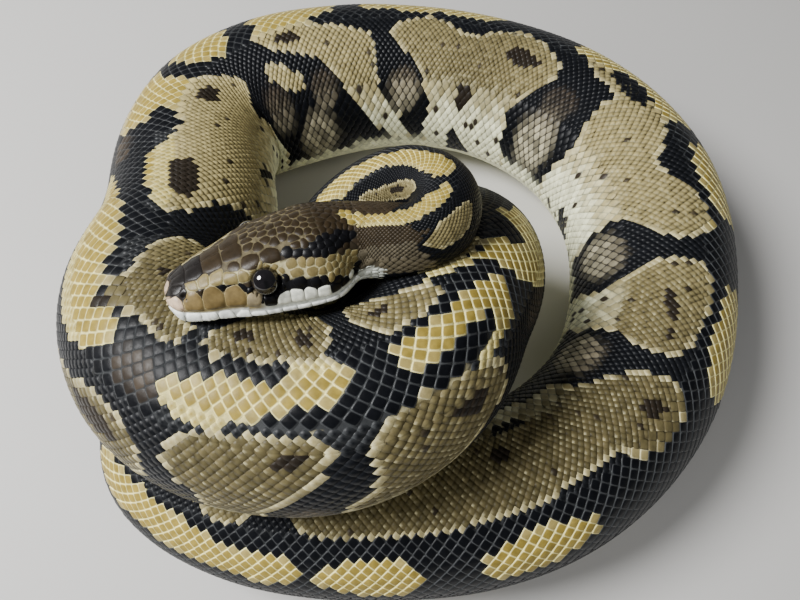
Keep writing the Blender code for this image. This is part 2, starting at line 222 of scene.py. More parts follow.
# The markings: outlines of each patch as (distance behind the snout in mm, degrees from the middle of the
# back, minus to the left). Gold patches have large cream-edged scales, tan ones small scales.
marks = {
    "gold": {
        "nape": [(45, -4), (46, -14), (48, -24), (50, -31), (53, -32), (57, -30), (61, -32), (65, -25),
            (70, -19), (75, -25), (78, -16), (78.5, -7), (76, 0), (74, 12), (71, 11), (66, 4), (61, -4),
            (56, -11), (51, -11), (47, -3)],
        "neck": [(80, 0), (82, -16), (85, -30), (88, -20), (93, -8), (100, -4), (106, -7), (113, -11),
            (119, -10), (126, -8), (134, -12), (142, -6), (144, 8), (136, 18), (126, 16), (119, 18),
            (116, 30), (113, 25), (108, 20), (103, 21), (96, 27), (88, 26), (83, 17), (81, 8)],
        "underLoop": [(152, -14), (160, -20), (172, -16), (184, -20), (192, -8), (190, 10), (180, 18),
            (166, 14), (156, 12)],
        "fork": [(222, 18), (226, 5), (229, -11), (233, -8), (236, 13), (240, 0), (241, -15), (245, -22),
            (251, -25), (257, -34), (260, -44), (264, -40), (258, -28), (250, -16), (248, 0), (246, 18),
            (242, 33), (239, 45), (232, 42), (226, 30)],
        "ringed": [(252, 5), (253, -5), (258, -12), (265, -17), (272, -22), (277, -24), (281, -20),
            (282, -11), (279, -3), (274, -2), (268, -2), (262, 4), (263, 12), (267, 15), (272, 16),
            (272, 20), (266, 22), (260, 22), (255, 14)],
        "bridge": [(291, -18), (291, -8), (295, 0), (302, 4), (308, 9), (313, 14), (317, 20), (322, 22),
            (327, 19), (332, 14), (331, 7), (326, 0), (320, -5), (312, -8), (306, -9), (302, -13),
            (303, -18), (300, -22), (294, -22)],
        "leftBend": [(347, 8), (349, -2), (354, 2), (360, 5), (366, 4), (372, -1), (378, -2), (384, 2),
            (390, 8), (396, 15), (404, 19), (412, 23), (420, 28), (424, 33), (418, 38), (405, 36),
            (392, 37), (384, 37), (376, 37), (366, 38), (358, 35), (352, 26), (348, 16)],
        "backLeft": [(469, -6), (470, -16), (474, -24), (481, -25), (484, -16), (485, -4), (487, 6),
            (484, 22), (474, 24), (469, 12)],
        "backMiddle": [(534, -8), (545, -12), (551, -16), (558, -18), (566, -14), (574, -16), (582, -17),
            (587, -9), (588, 2), (584, 14), (570, 20), (552, 20), (538, 12)],
        "right": [(665, -3), (667, -13), (671, -20), (679, -21), (685, -16), (690, -7), (691, 4), (690, 16),
            (684, 26), (672, 24), (666, 12)],
        "rightFront": [(711, 8), (713, -4), (719, -12), (728, -16), (737, -15), (742, -6), (744, 5),
            (743, 18), (736, 28), (720, 26), (713, 18)],
        "frontRight": [(787, 0), (789, -8), (795, -14), (803, -15.5), (811, -13), (816, -5), (816.5, 4),
            (814, 14), (808, 19), (800, 18), (793, 12), (788, 7)],
        "front": [(829, 4), (832, -6), (838, -13), (845, -14), (852, -11), (857, -4), (859, 4), (855, 13),
            (849, 20), (842, 24), (835, 21), (831, 13)],
        "frontLeft": [(861, 0), (863, -9), (868, -14), (875, -11), (882, -12), (888, -17), (897, -21),
            (906, -24.5), (915, -21), (921, -10), (924, 2), (922, 14), (914, 10), (906, 9), (897, 11),
            (888, 13), (878, 13), (872, 16), (866, 13), (862, 7)],
        "tailBase": [(938, -12), (950, -18), (962, -12), (966, 4), (958, 16), (944, 14), (937, 2)],
        "tail": [(980, -20), (1000, -26), (1020, -22), (1036, -8), (1034, 14), (1014, 22), (992, 20),
            (980, 6)],
    },
    "both": {
        "leftFlank": [(389, -22), (391, -14), (395, -7), (402, -2.5), (412, -1), (418, -2), (422, -8),
            (426, -16), (431, -23), (438, -25), (444, -20), (447, -13), (445, -6), (441, 0), (440, 12),
            (442, 30), (450, 32), (460, 28), (465, 18), (464, 10), (462, 0), (461, -12), (463, -25),
            (467, -33), (473, -43), (479, -50), (477, -57), (471, -63), (464, -71), (463, -78), (470, -84),
            (480, -90), (484, -100), (487, -112), (490, -150), (470, -155), (440, -155), (420, -140),
            (410, -110), (405, -90), (402, -75), (401, -62), (399, -45), (394, -38), (391, -32)],
        "backFlank": [(492, -28), (495, -35), (500, -42), (507, -47), (514, -55), (520, -67), (523, -78),
            (526, -90), (530, -100), (533, -110), (540, -120), (548, -135), (556, -136), (555, -125),
            (550, -108), (546, -98), (541, -86), (539, -74), (539, -60), (540, -52), (537, -40), (529, -33),
            (518, -26), (511, -21), (519, -17), (525, -9), (527, 0), (525, 14), (512, 22), (500, 20),
            (495, 6), (495, -8), (496, -16), (493, -22)],
        "rightFlank": [(616, -6), (618, -17), (623, -27), (630, -36), (638, -39), (642, -42), (641, -55),
            (643, -70), (646, -82), (648, -95), (646, -108), (644, -120), (643, -150), (670, -155),
            (700, -150), (699, -122), (696, -107), (693, -93), (693, -80), (697, -70), (701, -57),
            (702, -45), (700, -30), (695, -19), (688, -21), (682, -31), (678, -43), (675, -48), (670, -45),
            (665, -35), (658, -25), (657, -17), (659, -8), (660, 6), (655, 18), (640, 24), (625, 20),
            (617, 6)],
    },
    "tan": {
        "neckFlank": [(80, 46), (86, 44), (92, 49), (98, 54), (105, 50), (110, 44), (113, 46), (111, 60),
            (106, 72), (98, 82), (88, 80), (82, 66)],
        "neckSide": [(65, -62), (66, -74), (68, -82), (71, -84), (74, -74), (77, -60), (76, -46), (72, -40),
            (69, -42), (67, -50)],
        "loopInner": [(120, -52), (130, -62), (142, -56), (140, -80), (126, -86), (118, -70)],
        "forkFlank": [(244, -23), (250, -25), (258, -35), (262, -50), (258, -64), (250, -56), (245, -40)],
        "upperLeft": [(263, -29), (266, -44), (271, -55), (276, -65), (282, -69), (286, -66), (286, -52),
            (283, -38), (279, -30), (270, -26), (265, -25)],
        "upperRight": [(292, -50), (295, -58), (302, -63), (308, -60), (313, -58), (320, -48), (327, -26),
            (326, -17), (322, -14), (315, -16), (306, -20), (299, -22), (292, -18), (295, -26), (293, -38)],
        "lowerLeft": [(268, 24), (274, 12), (280, 8.5), (286, 11), (291, 19), (293, 32), (293, 45),
            (294, 58), (298, 72), (300, 92), (296, 110), (284, 108), (280, 78), (274, 60), (269, 50),
            (267, 38)],
        "lowerMiddle": [(297, 22), (300, 16), (306, 17), (312, 19), (318, 21), (323, 24), (327, 33),
            (329, 45), (327, 57), (323, 66), (324, 80), (322, 104), (312, 104), (311, 76), (307, 64),
            (302, 50), (299, 36)],
        "lowerRight": [(333, 53), (334, 43), (338, 36), (343, 34), (348, 38), (353, 46), (360, 54),
            (366, 62), (372, 75), (370, 98), (345, 98), (338, 85), (334, 68)],
        "bendFlank": [(331, -22), (333, -12), (337, -6), (341, -8), (346, -9), (349, -4), (354, 3),
            (362, 5), (364, -2), (362, -8), (363, -13), (368, -17), (373, -26), (377, -36), (376, -50),
            (370, -64), (362, -56), (356, -40), (348, -28), (340, -25)],
        "island": [(490, -50), (491, -58), (497, -68), (503, -75), (508, -72), (506, -64), (501, -54),
            (495, -47)],
        "backRight": [(546, -43), (548, -51), (552, -58), (558, -70), (561, -80), (564, -90), (565, -104),
            (562, -120), (565, -150), (585, -155), (612, -150), (612, -128), (609, -117), (610, -107),
            (607, -97), (609, -85), (614, -74), (618, -65), (620, -53), (618, -42), (612, -35), (607, -27),
            (600, -22), (592, -26), (587, -32), (582, -38), (576, -38), (571, -32), (566, -25), (560, -23),
            (553, -29), (548, -36)],
        "rightLobe": [(709, -30), (709, -42), (710, -55), (713, -69), (718, -82), (722, -95), (724, -106),
            (721, -120), (719, -150), (728, -155), (738, -150), (741, -117), (743, -105), (741, -93),
            (741, -80), (744, -68), (745, -55), (743, -42), (739, -32), (730, -25), (720, -21), (712, -22)],
        "frontFlank": [(750, -20), (749, -35), (751, -48), (755, -60), (763, -72), (771, -82), (772, -93),
            (778, -97), (790, -98), (800, -106), (815, -108), (830, -96), (850, -76), (862, -58),
            (867, -42), (864, -32), (858, -25), (851, -24), (840, -26), (830, -25), (820, -26), (813, -30),
            (806, -28), (797, -28), (790, -33), (780, -33), (774, -30), (771, -18), (766, -12), (756, -10.5)],
        "lastFlank": [(875, -36), (879, -27), (884, -24), (888, -28), (893, -38), (896, -60), (890, -84),
            (880, -80)],
    },
    "brown": {
        "neckLeft": [(46, -52), (52, -44), (60, -40), (64, -50), (64, -70), (66, -90), (66, -112),
            (52, -112), (50, -90), (50, -66)],
        "neckRight": [(46, 52), (54, 44), (62, 40), (74, 50), (78, 70), (74, 96), (66, 112), (52, 112),
            (50, 90)],
    },
    "nape": {
        "back": [(44, -62), (44, 62), (58, 62), (64, 40), (62, 14), (58, 2), (60, -16), (62, -30),
            (66, -44), (64, -62)],
    },
    "throat": {
        "left": [(42, -91), (46, -93), (50, -89), (55, -88), (58, -94), (58, -112), (56, -180), (42, -180)],
        "right": [(42, 91), (46, 93), (50, 89), (55, 88), (58, 94), (58, 112), (56, 180), (42, 180)],
    },
    # dark holes and spots in the patches
    "dark": {
        "oblong": [(631, -18), (634, -28), (640, -33), (647, -36), (650, -30), (648, -18), (643, -13),
            (636, -12)],
        "forkWedge": [(234, -20), (241, -17), (240, 0), (236, 12), (233, -6)],
        "flankWedge": [(792, -81), (797, -86), (804, -84), (804, -78), (796, -78)],
        "bellyRight": [(667, -122), (674, -130), (681, -140), (684, -152), (668, -152), (666, -138)],
        "bellyBack": [(577, -122), (576, -152), (590, -152), (586, -134), (583, -122)],
        "streak": [(425, -82), (428, -86), (432, -96), (430, -100), (425, -94), (422, -84)],
    },
    "spot": {
        "a": [(397, -22), (396, -30), (402, -36), (409, -36), (414, -30), (413, -20), (407, -16), (400, -17)],
        "b": [(450, -40), (454, -46), (461, -44), (461, -36), (456, -30), (452, -33)],
        "c": [(500, -33), (504, -37), (511, -38), (510, -31), (504, -27)],
        "d": [(594, -48), (599, -55), (606, -56), (612, -50), (606, -43), (599, -41)],
        "e": [(721, -51), (724, -55), (729, -49), (732, -51), (731, -44), (726, -44)],
        "f": [(735, -47), (738, -48), (738, -44), (735, -44)],
        "g": [(756, -28), (757, -36), (760, -41), (763, -40), (761, -30), (758, -25)],
        "h": [(801, -64), (804, -70), (808, -67), (807, -61), (803, -60)],
        "i": [(272, 38), (272, 30), (275, 27), (279, 31), (277, 38), (274, 41)],
        "j": [(302, 32), (302, 26), (305, 25), (308, 33), (307, 37), (304, 35)],
        "k": [(298, -34), (298, -40), (302, -43), (304, -36), (302, -30)],
        "l": [(315, -30), (316, -36), (320, -34), (321, -27), (318, -26)],
        "m": [(274, -45), (275, -51), (279, -52), (280, -46), (277, -43)],
        "n": [(338, 52), (340, 46), (346, 45), (351, 50), (352, 58), (344, 60)],
        "o": [(355, 5), (357, 2), (360, 8), (359, 13), (356, 11)],
        "p": [(355, -27), (357, -32), (360, -31), (359, -26)],
        "q": [(91, 62), (95, 58), (100, 62), (99, 70), (93, 71)],
        "r": [(577, -92), (580, -100), (584, -98), (586, -84), (580, -82)],
    },
}
# patches on the side away from the ring's middle: behind, degrees, half length, half turn
outerPatches = [
    (150, 74, 11, 24), (176, 66, 10, 26), (204, 76, 12, 30), (400, 84, 15, 26), (432, 82, 12, 34),
    (474, 80, 15, 36), (517, 82, 17, 38), (560, 78, 16, 34), (603, 84, 17, 38), (646, 80, 16, 36),
    (690, 84, 17, 38), (734, 80, 16, 36), (777, 86, 17, 38), (822, 80, 16, 36), (866, 84, 16, 38),
    (908, 80, 15, 36), (948, 78, 12, 34), (980, 76, 10, 34), (204, -74, 12, 30), (236, -84, 10, 30),
    (300, -108, 15, 24), (350, -92, 15, 28), (930, -74, 13, 32), (962, -78, 11, 34), (994, -76, 11, 34),
]
# paler speckled middles of the dark flank, partly the flank's own pale speckling and partly painted highlight
# on black scales: behind, degrees, half length, half turn, how grey
paleMiddlesAndHighlights = [
    (490, -80, 9, 22, 0.45), (508, -112, 12, 26, 0.9), (515, -78, 7, 18, 0.5), (552, -88, 9, 20, 0.7),
    (628, -104, 13, 30, 0.9), (628, -70, 9, 14, 0.35), (707, -98, 11, 22, 0.8), (756, -96, 12, 22, 0.9),
    (246, 42, 9, 12, 0.5), (338, 12, 8, 12, 0.3), (432, 20, 9, 12, 0.3), (281, 96, 6, 20, 0.4),
    (304, 84, 5, 20, 0.5),
]

coatLook = {
    "gold": (0.3, 0.22, 0.044), "goldRim": (0.88, 0.8, 0.36),
    "tan": (0.265, 0.22, 0.098), "tanRim": (0.085, 0.068, 0.032),
    "cream": (0.74, 0.68, 0.4), "edge": (0.4, 0.33, 0.15), "belly": (0.93, 0.93, 0.64),
    "black": (0.004, 0.0045, 0.006), "blackRim": (0.011, 0.012, 0.014), "backRim": (0.05, 0.053, 0.055),
    "greyMiddle": (0.44, 0.4, 0.27), "brownMiddle": (0.13, 0.095, 0.06),
    "brown": (0.1, 0.085, 0.055), "brownRim": (0.025, 0.02, 0.014),
    "nape": (0.03, 0.021, 0.012), "napeRim": (0.05, 0.04, 0.024),
    "throat": (0.6, 0.63, 0.56), "spot": (0.017, 0.013, 0.009),
    # how light the tan is along the body: partly the tan's own tone and partly painted light and shade, lighter
    # where the coil is lit and darker where it lies in shade
    "tanToneAndLight": [(0, 1), (255, 0.9), (300, 0.46), (360, 0.42), (400, 1.7), (480, 1.8), (530, 1.4), (585, 0.66),
             (650, 1.6), (690, 1.45), (727, 0.75), (760, 0.46), (860, 0.42), (900, 0.8)],
    # width in mm of the pale row round a patch, share of dark specks, and how much one scale differs
    # from the next
    "edgeRow": 1.15, "speckle": 0.02, "variation": 0.1,
    # how deep the skin under the scales lies below the body's surface, in mm; the radius at which scales
    # are full size, and how fast they get smaller on thinner parts
    "sunk": 0.45, "fullRadius": 29, "shrink": 0.72,
}
outside = -12.0  # mm, for every place that is far from an outline


def smoothStep(low, high, value):
    t = np.clip((value - low) / (high - low), 0, 1)
    return t * t * (3 - 2 * t)


def randomly(seed, count):
    return np.random.default_rng(seed).random(count)


def depthIn(outline, behind, turn):
    # mm inside the outline, minus outside it
    points = np.array(outline, float)
    near = (behind > points[:, 0].min() + outside) & (behind < points[:, 0].max() - outside)
    depth = np.full(len(behind), outside)
    if not near.any():
        return depth
    arc = np.radians(1) * eased(girth, behind[near])
    x, y = behind[near], turn[near] * arc
    best = np.full(len(x), 1e9)
    inside = np.zeros(len(x), bool)
    for (ax, ay), (bx, by) in zip(points, np.roll(points, -1, 0)):
        ay, by = ay * arc, by * arc
        dx, dy = bx - ax, by - ay
        t = np.clip(((x - ax) * dx + (y - ay) * dy) / np.maximum(dx * dx + dy * dy, 1e-9), 0, 1)
        best = np.minimum(best, np.hypot(x - ax - t * dx, y - ay - t * dy))
        crosses = (ay > y) != (by > y)
        at = ax + (y - ay) / np.where(np.abs(dy) < 1e-9, 1e-9, dy) * dx
        inside ^= crosses & (x < at)
    depth[near] = np.where(inside, best, -best)
    return depth


def deepest(group, behind, turn):
    depth = np.full(len(behind), outside)
    for outline in marks[group].values():
        depth = np.maximum(depth, depthIn(outline, behind, turn))
    return depth


def mixed(low, high, share):
    return low + (high - low) * share[:, None]


# A pair of colours is that of a scale's middle and that of its rim, for arrays of places.
def laidOver(pair, where, middle, rim):
    return np.where(where[:, None], middle, pair[0]), np.where(where[:, None], rim, pair[1])


def blended(pair, share, middle, rim):
    return mixed(pair[0], middle, share), mixed(pair[1], rim, share)


def reachOf(patch, behind, turn):
    # 0 in an oval patch's middle and 1 at its edge
    at, degrees, long, wide = patch[:4]
    return np.hypot((behind - at) / long, (turn - degrees) / wide)


def scaleSize(behind):
    return (eased(girth, behind) / coatLook["fullRadius"]) ** coatLook["shrink"]


def bodyColours(behind, turn, seed):
    c = {key: np.array(value) for key, value in coatLook.items() if isinstance(value, tuple)}
    count = len(behind)
    chance = randomly(seed, count)
    away = np.abs(turn)
    # the dark ground, browner on the neck
    pair = np.tile(c["black"], (count, 1)), mixed(c["backRim"][None], c["blackRim"], smoothStep(22, 30, away))
    pair = laidOver(pair, deepest("brown", behind, turn) > 0, c["brown"], c["brownRim"])
    isNape = deepest("nape", behind, turn) + 1.5 * (chance - 0.5) > 0
    pair = laidOver(pair, isNape, c["nape"], c["napeRim"])
    wanted = mixed(c["brownMiddle"][None], c["greyMiddle"][None], smoothStep(60, 110, away))
    # paler middles on the dark scales: partly real pale speckling, partly painted highlight
    for patch in paleMiddlesAndHighlights:
        reach = reachOf(patch, behind, turn) + 0.25 * (chance - 0.5)
        share = (1 - smoothStep(0.55, 1.05, reach)) * patch[4]
        pair = mixed(pair[0], wanted * (0.5 + 0.9 * chance[:, None]), share), pair[1]
    pair = laidOver(pair, deepest("throat", behind, turn) > 0, c["throat"], c["throat"] * 0.5)
    belly = smoothStep(128, 138, away + 8 * (chance - 0.5))
    pair = blended(pair, belly, c["belly"], c["belly"] * 0.8)
    # the patches; a "both" one is gold on the back and tan on the flank
    gold, both, tan = (deepest(group, behind, turn) for group in ("gold", "both", "tan"))
    for patch in outerPatches:
        tan = np.maximum(tan, (1 - reachOf(patch, behind, turn)) * patch[2] * 0.8)
    onBack = smoothStep(26, 14, away) > 0.5
    gold = np.maximum(gold, np.where(onBack, both, outside))
    tan = np.maximum(tan, np.where(onBack, outside, both))
    pale = smoothStep(72, 118, away + 14 * (chance - 0.5))
    isTan = tan > 0
    # the tan is painted lighter and darker along the body, partly its own tone and partly painted light and
    # shade
    tanToneAndLight = np.interp(behind, *np.transpose(coatLook["tanToneAndLight"]))[:, None]
    low = mixed(c["cream"][None], c["belly"], smoothStep(0.3, 0.9, pale))
    tanMiddle = mixed(c["tan"] * tanToneAndLight, low, pale)
    crack = 0.2 + 1.5 * randomly(seed + 3, count)[:, None] ** 1.5
    tanRim = mixed(c["tanRim"] * crack, c["belly"] * np.minimum(0.3 + 0.6 * crack, 0.9), pale)
    thin = (eased(girth, behind) / coatLook["fullRadius"]) ** 0.8
    border = smoothStep(1.3, 0.8, np.maximum(tan, gold) / (coatLook["edgeRow"] * thin))
    border = border * (1 - 0.5 * (tan < gold))
    tanMiddle, tanRim = mixed(tanMiddle, c["edge"], border * 0.7), mixed(tanRim, c["cream"], border * 0.8)
    specks = (randomly(seed + 7, count) < coatLook["speckle"] * (1 + 2 * pale)) & (border < 0.5)
    tanMiddle = np.where(specks[:, None], c["spot"] * 2, tanMiddle)
    pair = laidOver(pair, isTan, tanMiddle, tanRim)
    isGold = gold > 0
    pair = laidOver(pair, isGold, mixed(c["gold"][None], c["cream"][None], border * 0.3), c["goldRim"])
    pair = laidOver(pair, deepest("dark", behind, turn) > 0, c["black"], c["blackRim"])
    isSpot = (deepest("spot", behind, turn) > 0) & (isTan | isGold)
    middle, rim = laidOver(pair, isSpot, c["spot"], c["spot"] * 1.6)
    # a tan scale's raised hind tip is painted paler than the rest of its rim, a painted glint where it catches
    # the light
    tip = np.where((isTan & ~isGold & ~isSpot)[:, None], mixed(rim, c["cream"], 0.5 * chance**2), rim)
    share = (1 + coatLook["variation"] * (2 * chance - 1))[:, None]
    return middle * share, rim * share, tip * share


skinLook = {
    "headStep": 0.5, "bodyStep": 2.0, "sides": 112, "headSunk": 0.3, "snoutNarrow": 0.11,
    "mouthDeep": 0.75, "mouthWide": 0.5,
    # behind the snout, degrees, radius and depth
    "nostril": (4.4, 47, 0.75, 0.9),
    # behind the snout, out from the middle and above it, and how far the eye looks upwards
    "eye": (24.1, 10.75, 3.0), "eyeTilt": 0.22,
    # the radii of the eye's socket and of the ring round it
    "socket": (3.9, 3.1), "eyeRing": (4.1, 0.5, 0.2),
    # soft swellings and hollows: behind, half length, degrees, half turn, height
    "cheek": (37, 8, 62, 24, 0.25), "brow": (24.5, 6, 36, 10, 0.9), "loreal": (14, 6, 58, 9, 0.6),
}
# The skin's points on a fine grid, which every scale is laid on.
gridStep, turnStep, headEnd, bodyEnd = 0.5, 2.5, 66, length - 0.4
gridBehind = np.concatenate([np.arange(0, headEnd, gridStep), np.arange(headEnd, bodyEnd, 1.0), [bodyEnd]])
gridTurns = np.arange(-180, 181, turnStep)


def headFrames(behind, out, above):
    middle, right, crown = sectionFrames(np.array([float(behind)]))
    return middle[0] + right[0] * out + crown[0] * above, right[0], crown[0]


def mouthTurn(behind):
    # how far round from the crown the mouth's line runs, in degrees
    return 90 - 7 * smoothStep(26, 12, behind)


def eyeFrame(side):
    # the eye's middle, and its outward, forward and upward directions
    behind, out, above = skinLook["eye"]
    centre, right, crown = headFrames(behind, side * out, above)
    outward = unit(right * side + crown * skinLook["eyeTilt"])
    forward = unit(np.cross(crown, outward))
    return centre, outward, forward, np.cross(outward, forward)


def shapedHead(points, normals):
    # the mouth's groove, the nostrils and the sockets, pushed into the skin
    behind, turn = np.meshgrid(gridBehind, gridTurns, indexing="ij")

    def swelling(name):
        at, long, degrees, wide, height = skinLook[name]
        return np.exp(-(((behind - at) / long) ** 2) - (((np.abs(turn) - degrees) / wide) ** 2)) * height

    jawRadius, swollen = 12, 0.9
    away = np.abs(np.abs(turn) - mouthTurn(behind)) * np.radians(1) * jawRadius
    groove = np.exp(-((away / skinLook["mouthWide"]) ** 2)) * skinLook["mouthDeep"] * smoothStep(45, 40, behind)
    # the edge that runs from the nostril to the brow
    canthus = np.exp(-(((np.abs(turn) - 44) / 8) ** 2)) * smoothStep(6, 12, behind)
    canthus = canthus * smoothStep(24, 19, behind) * 0.5
    raised = canthus + swelling("brow") + swelling("cheek") - groove - swelling("loreal")
    points = points + normals * raised[..., None] * swollen
    # the snout narrows a little ahead of the eyes
    middle, right, _ = sectionFrames(gridBehind)
    sideways = ((points - middle[:, None]) * right[:, None]).sum(-1)
    narrow = skinLook["snoutNarrow"] * smoothStep(1, 6, gridBehind) * smoothStep(22, 12, gridBehind)
    points = points - right[:, None] * (sideways * narrow[:, None])[..., None]
    at, degrees, radius, deep = skinLook["nostril"]
    for side in (-1, 1):
        k = np.abs(gridBehind - at).argmin()
        j = np.abs(gridTurns - side * degrees).argmin()
        reach = np.linalg.norm(points - points[k, j], axis=2)
        points = points - normals * (np.exp(-((reach / radius) ** 4)) * deep)[..., None]
        centre, axis, _, _ = eyeFrame(side)
        offset = points - centre
        depth = offset @ axis
        reach = np.linalg.norm(offset - depth[..., None] * axis, axis=2)
        near = (depth > -1) & (reach < 7)
        socket = smoothStep(*skinLook["socket"], reach) * near
        points = points - axis * (socket * np.maximum(depth + 0.6, 0))[..., None]
        ringAt, ringWide, ringHigh = skinLook["eyeRing"]
        ring = np.exp(-(((reach - ringAt) / ringWide) ** 2)) * near * ringHigh
        points = points + normals * ring[..., None]
    return points


def gridNormals(points):
    back = np.gradient(points, axis=0)
    across = np.roll(points[:, :-1], -1, 1) - np.roll(points[:, :-1], 1, 1)
    across = np.concatenate([across, across[:, :1]], 1)
    return unit(np.cross(across, -back))


sunkAt = np.where(gridBehind < 50, skinLook["headSunk"], coatLook["sunk"])
gridPoints = surfaceTable(gridBehind, np.radians(gridTurns))
gridNormal = gridNormals(gridPoints)
gridPoints = gridPoints - gridNormal * sunkAt[:, None, None]
gridPoints = shapedHead(gridPoints, gridNormal)
gridNormal = gridNormals(gridPoints)
print("grid", gridPoints.shape)


def wrapTurn(degrees):
    return (degrees + 180) % 360 - 180


def onGrid(data, behind, turn):
    shape = np.shape(behind)
    behind, turn = np.ravel(behind), np.ravel(turn)
    row = np.interp(behind, gridBehind, np.arange(len(gridBehind)))
    column = (wrapTurn(turn) + 180) / turnStep
    i = np.clip(row.astype(int), 0, len(gridBehind) - 2)
    j = np.clip(column.astype(int), 0, len(gridTurns) - 2)
    s, t = (row - i)[:, None], (column - j)[:, None]
    value = (data[i, j] * (1 - s) + data[i + 1, j] * s) * (1 - t)
    value += (data[i, j + 1] * (1 - s) + data[i + 1, j + 1] * s) * t
    return value.reshape(*shape, 3)


def overSkin(behind, turn, height):
    return onGrid(gridPoints, behind, turn) + onGrid(gridNormal, behind, turn) * height[..., None]


# Where a place on the skin lies on its flat unwrap: the head first, then strips of the body side by side.
stripEnds = np.array([0.0, 62, 230, 398, 566, 734, 902, 1072])
patchHalf = 0.0015  # half the width of one scale's patch on it


def unwrapped(behind, turn, strip):
    start, end = stripEnds[strip], stripEnds[strip + 1]
    u = 0.02 + 0.96 * (behind - start) / (end - start)
    v = (strip + 0.02 + 0.96 * (turn + 180) / 360) / (len(stripEnds) - 1)
    return np.stack([u, v], -1)


def stripOf(behind):
    return np.clip(np.searchsorted(stripEnds, behind, side="right") - 1, 0, len(stripEnds) - 2)


def linked(name, mesh, material):
    mesh.materials.append(material)
    made = bpy.data.objects.new(name, mesh)
    bpy.context.scene.collection.objects.link(made)
    return made


def paint(mesh, tints, places):
    # the colour of each point, and the unwrap of each corner
    tint = mesh.color_attributes.new("tint", "FLOAT_COLOR", "POINT")
    tint.data.foreach_set("color", np.c_[tints, np.ones(len(tints))].ravel())
    mesh.uv_layers.new(name="OFBake").data.foreach_set("uv", places.ravel())


class Gathered:
    # points, faces, colours and unwrap of many small shapes that become one mesh
    def __init__(self):
        self.points, self.loops, self.sizes, self.tints, self.flat = [], [], [], [], []
        self.count = 0

    def add(self, points, loops, sizes, tints, flat):
        # points (shapes, points, 3) in mm; loops and sizes are one shape's faces
        shapes, each = points.shape[:2]
        offsets = self.count + each * np.arange(shapes)[:, None]
        self.loops.append((np.array(loops)[None] + offsets).ravel())
        self.sizes.append(np.tile(sizes, shapes))
        self.points.append(points.reshape(-1, 3))
        self.tints.append(tints.reshape(-1, 3))
        self.flat.append(flat[:, np.array(loops)].reshape(-1, 2))
        self.count += shapes * each

    def piece(self, name, material):
        points = np.concatenate(self.points) * mm
        loops, sizes = np.concatenate(self.loops), np.concatenate(self.sizes)
        mesh = bpy.data.meshes.new(name)
        mesh.vertices.add(len(points))
        mesh.vertices.foreach_set("co", points.ravel())
        mesh.loops.add(len(loops))
        mesh.loops.foreach_set("vertex_index", loops)
        mesh.polygons.add(len(sizes))
        mesh.polygons.foreach_set("loop_start", np.r_[0, np.cumsum(sizes)[:-1]])
        mesh.polygons.foreach_set("loop_total", sizes)
        mesh.polygons.foreach_set("use_smooth", np.ones(len(sizes), bool))
        mesh.update(calc_edges=True)
        paint(mesh, np.concatenate(self.tints), np.concatenate(self.flat))
        print(name, len(points), "points,", int((sizes - 2).sum()), "triangles")
        return linked(name, mesh, material)


def flatShape(bm, spots):
    # the faces of a flat shape, with its points numbered as given
    bm.normal_update()
    if sum(face.normal.z for face in bm.faces) < 0:
        bmesh.ops.reverse_faces(bm, faces=bm.faces[:])
    loops = [spots[vert] for face in bm.faces for vert in face.verts]
    sizes = [len(face.verts) for face in bm.faces]
    bm.free()
    return loops, sizes


def scaleShape(corners, ringsAt, blunt):
    # one scale: a disc inset ring by ring from its buried edge and poked in its middle; each ring is its
    # reach, its share of the middle's colour, and its height on the dome
    bm = bmesh.new()
    quarter = Matrix.Rotation(-math.pi / 2, 4, "Z")
    bmesh.ops.create_circle(bm, cap_ends=True, segments=corners, radius=1, matrix=quarter)
    middle = bm.faces[:]
    for outer, inner in zip(ringsAt, ringsAt[1:]):
        thick = (outer[0] - inner[0]) * math.cos(math.pi / corners)
        bmesh.ops.inset_individual(bm, faces=middle, thickness=thick, use_even_offset=True)
    bmesh.ops.poke(bm, faces=middle)
    reaches = np.array([ring[0] for ring in ringsAt])
    spots = {}
    for vert in bm.verts:
        reach = vert.co.xy.length
        if reach < 1e-4:
            spots[vert] = len(ringsAt) * corners
            continue
        corner = round(math.atan2(vert.co.y, vert.co.x) / (2 * math.pi) * corners) % corners
        spots[vert] = int(np.abs(reaches - reach).argmin()) * corners + corner
    # the corners are pulled out towards a rhombus that points along the body and round it
    turn = 2 * math.pi * np.arange(corners) / corners
    x, y = (np.sign(value) * np.abs(value) ** (2 / blunt) for value in (np.cos(turn), np.sin(turn)))
    rows = [(x[k] * reach, y[k] * reach, share, dome) for reach, share, dome in ringsAt for k in range(corners)]
    rows.append((0.0, 0.0, 1.0, 1.0))
    return np.array(rows), *flatShape(bm, spots)


bigScale = scaleShape(12, [(1.0, 0.0, -1.0), (0.88, 0.0, 0.4), (0.68, 1.0, 0.85)], 1.2)
middleScale = scaleShape(8, [(1.0, 0.0, -1.0), (0.93, 0.0, 0.3), (0.62, 1.0, 0.85)], 1.45)
smallScale = scaleShape(8, [(1.0, 0.0, -1.0), (0.82, 0.55, 0.5)], 1.4)
buried = -0.15  # how far a scale's outer edge goes into the skin
layable = (0.05, length - 0.45)  # the stretch that scales can lie on


